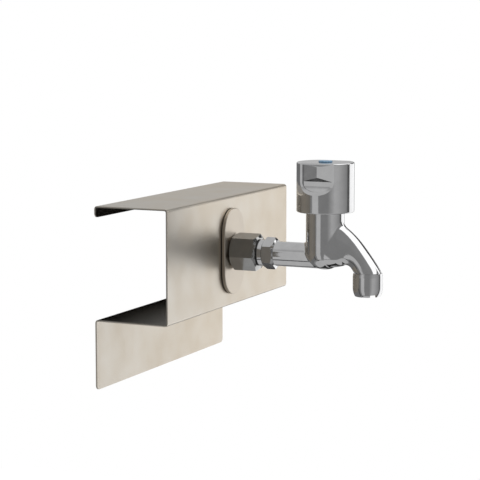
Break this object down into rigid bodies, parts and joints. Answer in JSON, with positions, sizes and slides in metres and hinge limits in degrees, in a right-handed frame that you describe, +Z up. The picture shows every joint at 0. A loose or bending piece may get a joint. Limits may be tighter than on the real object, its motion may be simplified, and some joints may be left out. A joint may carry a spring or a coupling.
{
  "type": "cold water tap",
  "caption": "Cold water tap with a curved spout and a round chrome knob with finger recesses, on a hexagon connector through a folded stainless steel wall bracket.",
  "frame": {"origin": "middle of the wall flange's back face, in the wall plane", "axes": "+Z up, -Y out of the wall towards the user, +X along the bracket, to the right for someone facing the wall"},
  "size_m": [0.255, 0.2149, 0.195],
  "materials": {
    "satin_steel": "satin brushed stainless",
    "cover_steel": "satin stainless with a polished edge",
    "chrome": "bright chrome plate",
    "dark_chrome": "bright chrome plate",
    "brass": "turned brass",
    "spring_steel": "spring steel",
    "seat_steel": "turned stainless",
    "screw_steel": "stainless screw",
    "rubber": "black rubber",
    "fibre": "red fibre washer",
    "white_plastic": "moulded acetal",
    "blue_plastic": "moulded, glossy blue"
  },
  "bodies": {
    "root": {"bracket": "satin_steel", "oval_plate": "cover_steel", "oval_gasket": "rubber", "connector": "dark_chrome", "lock_washer": "spring_steel", "back_nut": "brass", "inlet_seal": "rubber", "tap_body": "chrome", "valve_seat": "seat_steel", "bonnet": "brass", "bonnet_seal": "fibre", "outlet_ring": "chrome", "outlet_washer": "rubber", "outlet_screen": "seat_steel", "flow_straightener": "white_plastic"},
    "handle": {"knob": "chrome", "knob_screw": "screw_steel", "index_cap": "blue_plastic", "spindle": "brass", "spindle_o_rings": "rubber", "thrust_washer": "white_plastic", "circlip": "spring_steel"},
    "valve": {"valve_carrier": "brass", "valve_washer": "rubber", "washer_screw": "screw_steel"}
  },
  "joints": [
    {"name": "knob_turn", "type": "hinge", "parent": "root", "child": "handle", "pos_m": [0, -0.1614, 0.1198], "axis": [0, 0, 1], "range_deg": [0, 810]},
    {"name": "valve_lift", "type": "slide", "parent": "root", "child": "valve", "axis": [0, 0, 1], "range_m": [0, 0.0045]}
  ],
  "couplings": [
    {"joint": "valve_lift", "follows": "knob_turn", "m_per_rad": 0.0003183}
  ]
}
